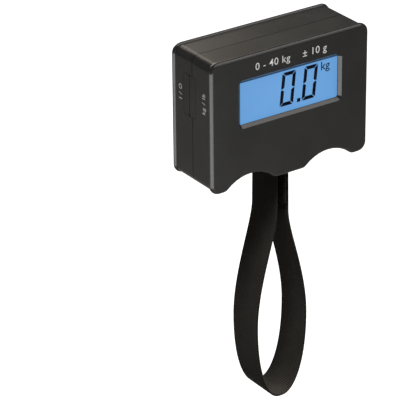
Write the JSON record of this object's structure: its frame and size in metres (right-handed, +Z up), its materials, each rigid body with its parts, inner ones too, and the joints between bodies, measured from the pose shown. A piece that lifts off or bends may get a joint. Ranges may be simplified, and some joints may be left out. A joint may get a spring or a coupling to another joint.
{
  "type": "digital luggage scale",
  "caption": "Hand-held luggage scale: a charcoal spool-shaped case with a blue lit display, finger scallops and side buttons, and a loop of black webbing that hangs below.",
  "frame": {"origin": "middle of the plane across the tops of the case's two flanges, above the strap", "axes": "+X to the right as the display is read, -Y out of the display, +Z up; the strap hangs toward -Z"},
  "size_m": [0.088, 0.032, 0.1858],
  "materials": {
    "case_plastic": "fine-textured charcoal ABS with a satin sheen",
    "button_plastic": "the same charcoal plastic as the case",
    "guide_plastic": "smooth black acetal",
    "clear_window": "clear polished acrylic",
    "lcd_panel": "blue-lit display with dark slanted digits",
    "backlight": "diffusing light panel",
    "white_plastic": "white moulded plastic",
    "elastomer": "soft black elastomer",
    "circuit_board": "green solder mask",
    "epoxy": "black epoxy dome",
    "capacitor_sleeve": "dark blue sleeve",
    "red_plastic": "red moulded plastic",
    "aluminium_bar": "machined bar with fine mill lines",
    "silicone": "soft white silicone",
    "zinc_steel": "zinc-plated sheet steel",
    "bright_steel": "bright plated steel",
    "spring_brass": "plated spring strip",
    "webbing": "black ribbed polypropylene webbing",
    "red_lead": "red PVC insulation",
    "black_lead": "black PVC insulation",
    "grey_lead": "grey PVC insulation"
  },
  "bodies": {
    "case": {"backlight_panel": "backlight", "battery_cell": "bright_steel", "battery_holder": "guide_plastic", "battery_lead_negative": "black_lead", "battery_lead_positive": "red_lead", "board_screw_1": "bright_steel", "board_screw_2": "bright_steel", "board_screw_3": "bright_steel", "board_screw_4": "bright_steel", "bracket_screw_1": "bright_steel", "bracket_screw_2": "bright_steel", "button_board": "circuit_board", "case_screw_1": "bright_steel", "case_screw_2": "bright_steel", "case_screw_3": "bright_steel", "case_screw_4": "bright_steel", "cell_screw_1": "bright_steel", "cell_screw_2": "bright_steel", "chip_on_board": "epoxy", "crystal": "bright_steel", "display_window": "clear_window", "filter_capacitor": "capacitor_sleeve", "front_cover": "case_plastic", "gauge_cover_bottom": "silicone", "gauge_cover_top": "silicone", "holder_screw_1": "bright_steel", "holder_screw_2": "bright_steel", "lcd_frame": "white_plastic", "lcd_glass": "lcd_panel", "load_bracket": "zinc_steel", "load_cell": "aluminium_bar", "load_cell_cable": "grey_lead", "main_board": "circuit_board", "negative_contact": "spring_brass", "on_off_switch": "guide_plastic", "pin_clip": "bright_steel", "positive_contact": "spring_brass", "rear_cover": "case_plastic", "strap_guide": "guide_plastic", "strap_pin": "bright_steel", "strap_yoke": "zinc_steel", "unit_tare_switch": "guide_plastic", "yoke_screw": "bright_steel", "zebra_connector": "elastomer"},
    "on_off_key": {"on_off_button": "button_plastic", "on_off_plunger": "red_plastic"},
    "unit_tare_key": {"unit_tare_button": "button_plastic", "unit_tare_plunger": "red_plastic"},
    "strap": {"load_strap": "webbing"},
    "lid": {"battery_lid": "case_plastic", "lid_seal": "elastomer"}
  },
  "joints": [
    {"name": "on_off_press", "type": "slide", "parent": "case", "child": "on_off_key", "axis": [1, 0, 0], "range_m": [0, 0.0005], "stiffness_N_per_m": 800},
    {"name": "unit_tare_press", "type": "slide", "parent": "case", "child": "unit_tare_key", "axis": [1, 0, 0], "range_m": [0, 0.0005], "stiffness_N_per_m": 800},
    {"name": "strap_swing", "type": "hinge", "parent": "case", "child": "strap", "pos_m": [0, 0, -0.056], "axis": [0, 1, 0], "range_deg": [-15, 15]},
    {"name": "lid_turn", "type": "hinge", "parent": "case", "child": "lid", "pos_m": [0.0246, 0.016, -0.031], "axis": [0, 1, 0], "range_deg": [-45, 0]}
  ]
}
